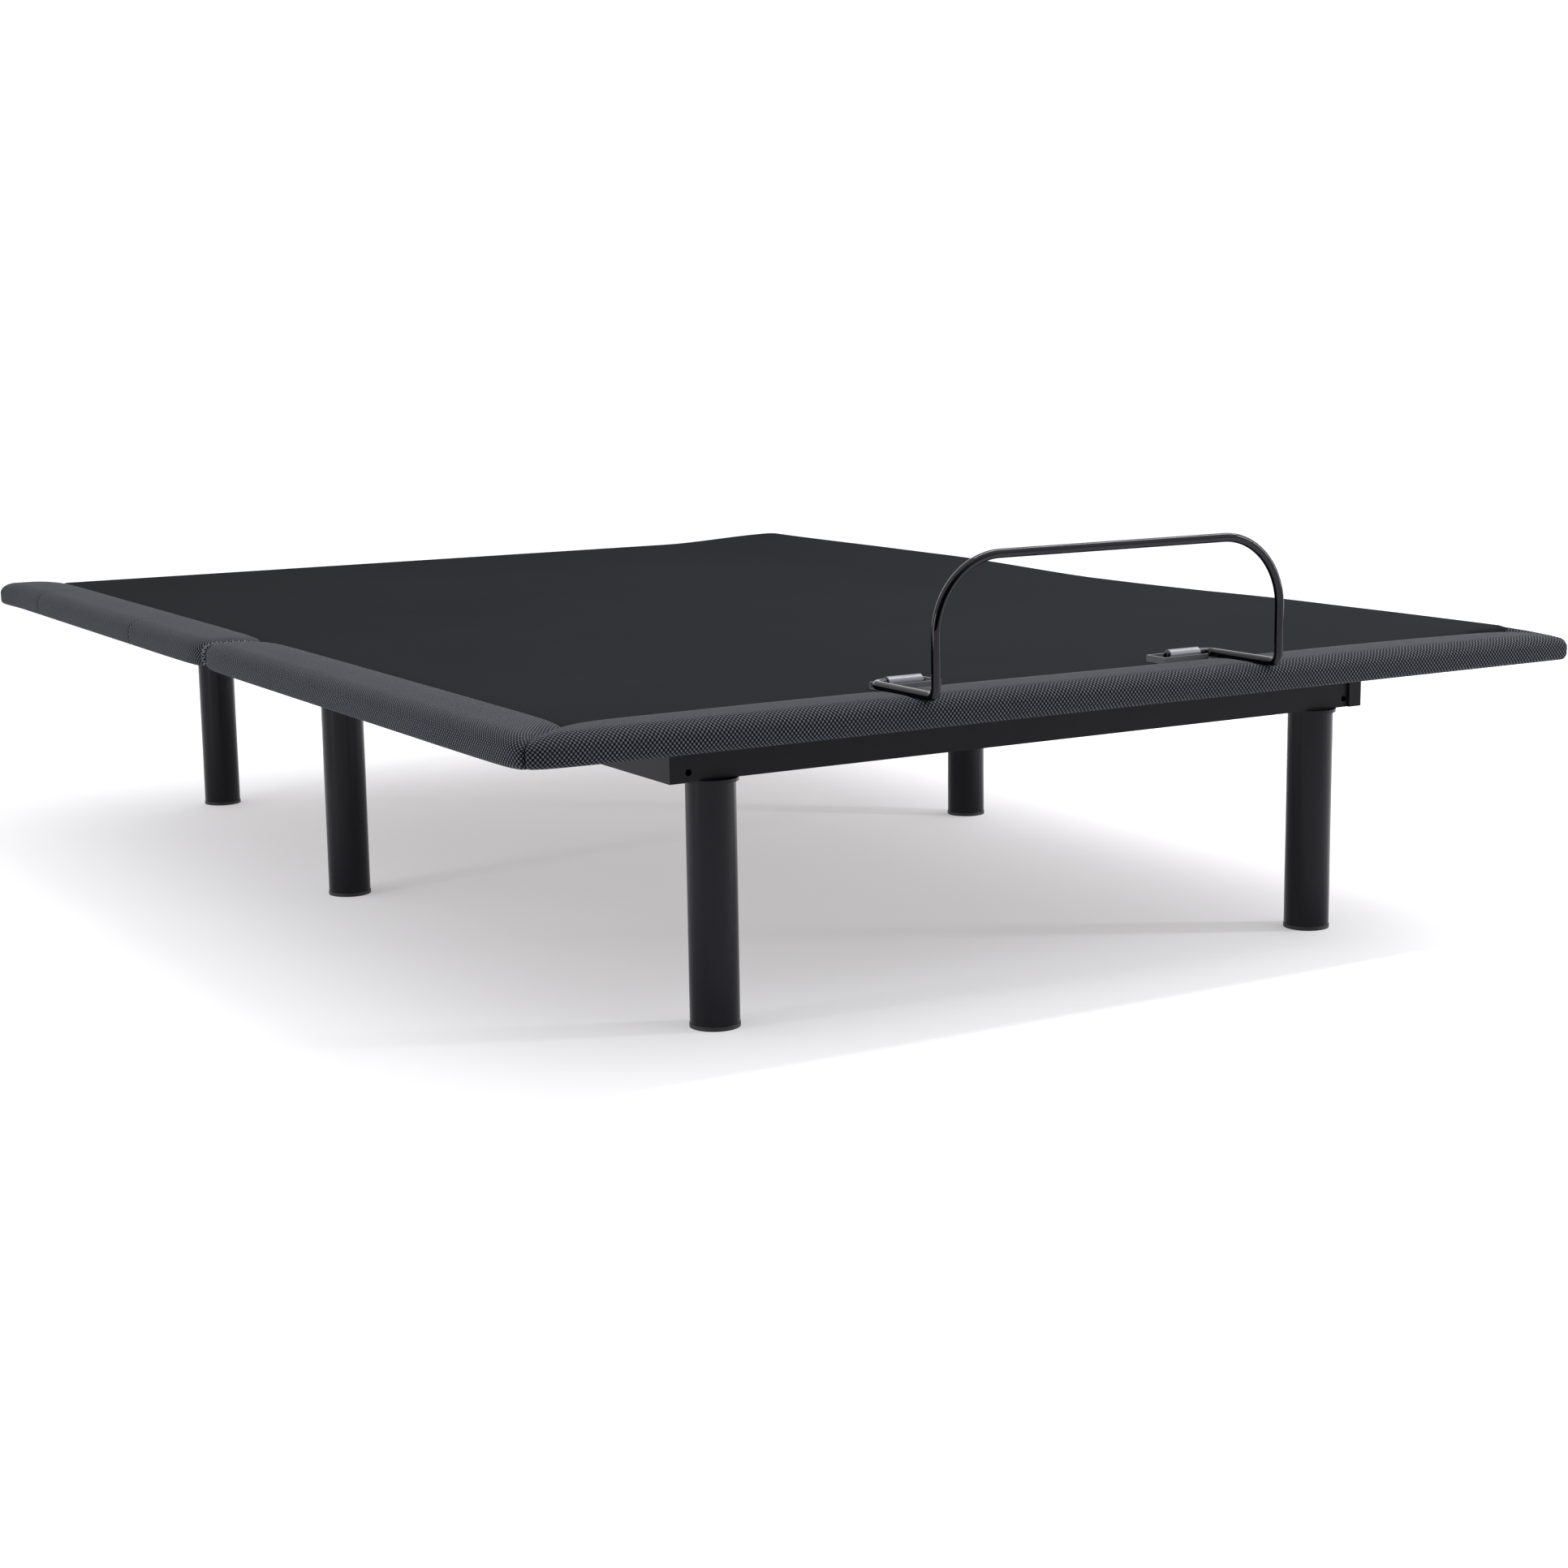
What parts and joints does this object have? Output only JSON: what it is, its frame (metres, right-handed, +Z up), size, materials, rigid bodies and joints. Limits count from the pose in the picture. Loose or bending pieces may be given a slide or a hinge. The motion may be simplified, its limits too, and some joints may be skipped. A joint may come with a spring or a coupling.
{
  "type": "adjustable bed base",
  "caption": "Padded adjustable bed base on a steel chassis with round legs; an actuator lifts the head section on a concealed hinge line, and a retainer bar folds at the foot.",
  "frame": {"origin": "centre of the footprint at floor level", "axes": "+Z up, +Y along the length to the head end, +X to the right seen from the foot end"},
  "size_m": [1.524, 2.075, 0.5495],
  "materials": {
    "board": "raw plywood",
    "deck_fabric": "smooth woven",
    "edge_mesh": "open spacer mesh",
    "rubber": "matt",
    "glide_plastic": "matt",
    "leg_paint": "satin powder coat",
    "frame_paint": "textured powder coat",
    "dark_chrome": "black nickel",
    "zinc": "zinc plated",
    "rod_steel": "ground",
    "housing_plastic": "fine texture",
    "tube_aluminium": "anodised",
    "circuit_board": "solder mask",
    "button_plastic": "matt"
  },
  "bodies": {
    "root": {"side_rail_left": "frame_paint", "side_rail_right": "frame_paint", "foot_crossmember": "frame_paint", "head_crossmember": "frame_paint", "hinge_crossmember": "frame_paint", "actuator_crossmember": "frame_paint", "outrigger_left": "frame_paint", "outrigger_right": "frame_paint", "leg_foot_left": "leg_paint", "leg_foot_right": "leg_paint", "leg_mid_left": "leg_paint", "leg_mid_right": "leg_paint", "leg_head_left": "leg_paint", "leg_head_right": "leg_paint", "glide_foot_left": "glide_plastic", "glide_foot_right": "glide_plastic", "glide_mid_left": "glide_plastic", "glide_mid_right": "glide_plastic", "glide_head_left": "glide_plastic", "glide_head_right": "glide_plastic", "fixed_board": "board", "fixed_pad": "deck_fabric", "fixed_border_left": "edge_mesh", "fixed_border_right": "edge_mesh", "foot_border": "edge_mesh", "spacer_left": "rubber", "spacer_right": "rubber", "bumper_left": "rubber", "bumper_right": "rubber", "bar_bracket_left": "zinc", "bar_bracket_right": "zinc", "bar_screws_left": "zinc", "bar_screws_right": "zinc", "hinge_fixed_left": "zinc", "hinge_fixed_right": "zinc", "hinge_pin_left": "zinc", "hinge_pin_right": "zinc", "actuator_tube": "tube_aluminium", "gear_housing": "housing_plastic", "actuator_motor": "housing_plastic", "rear_bracket": "frame_paint", "rear_pin": "zinc", "control_box": "housing_plastic", "control_lid": "housing_plastic", "control_board": "circuit_board", "power_inlet": "housing_plastic"},
    "head": {"head_board": "board", "head_pad": "deck_fabric", "head_border_left": "edge_mesh", "head_border_right": "edge_mesh", "lift_arm_left": "frame_paint", "lift_arm_right": "frame_paint", "lift_lever": "frame_paint", "lift_cross_tube": "frame_paint", "lever_pin": "zinc", "hinge_head_left": "zinc", "hinge_head_right": "zinc"},
    "rod": {"actuator_rod": "rod_steel"},
    "retainer": {"retainer_bar": "dark_chrome"},
    "button": {"pair_button": "button_plastic"}
  },
  "joints": [
    {"name": "head_lift", "type": "hinge", "parent": "root", "child": "head", "pos_m": [0, 0.005, 0.372], "axis": [1, 0, 0], "range_deg": [0, 60]},
    {"name": "rod_pivot", "type": "hinge", "parent": "head", "child": "rod", "pos_m": [0, -0.045, 0.2854], "axis": [1, 0, 0], "range_deg": [-60, 0]},
    {"name": "retainer_fold", "type": "hinge", "parent": "root", "child": "retainer", "pos_m": [0, -0.903, 0.387], "axis": [1, 0, 0], "range_deg": [-130, 0]},
    {"name": "pair_press", "type": "slide", "parent": "root", "child": "button", "axis": [0, 0, 1], "range_m": [0, 0.0015], "stiffness_N_per_m": 400}
  ],
  "couplings": [
    {"joint": "rod_pivot", "follows": "head_lift", "ratio": -1}
  ]
}
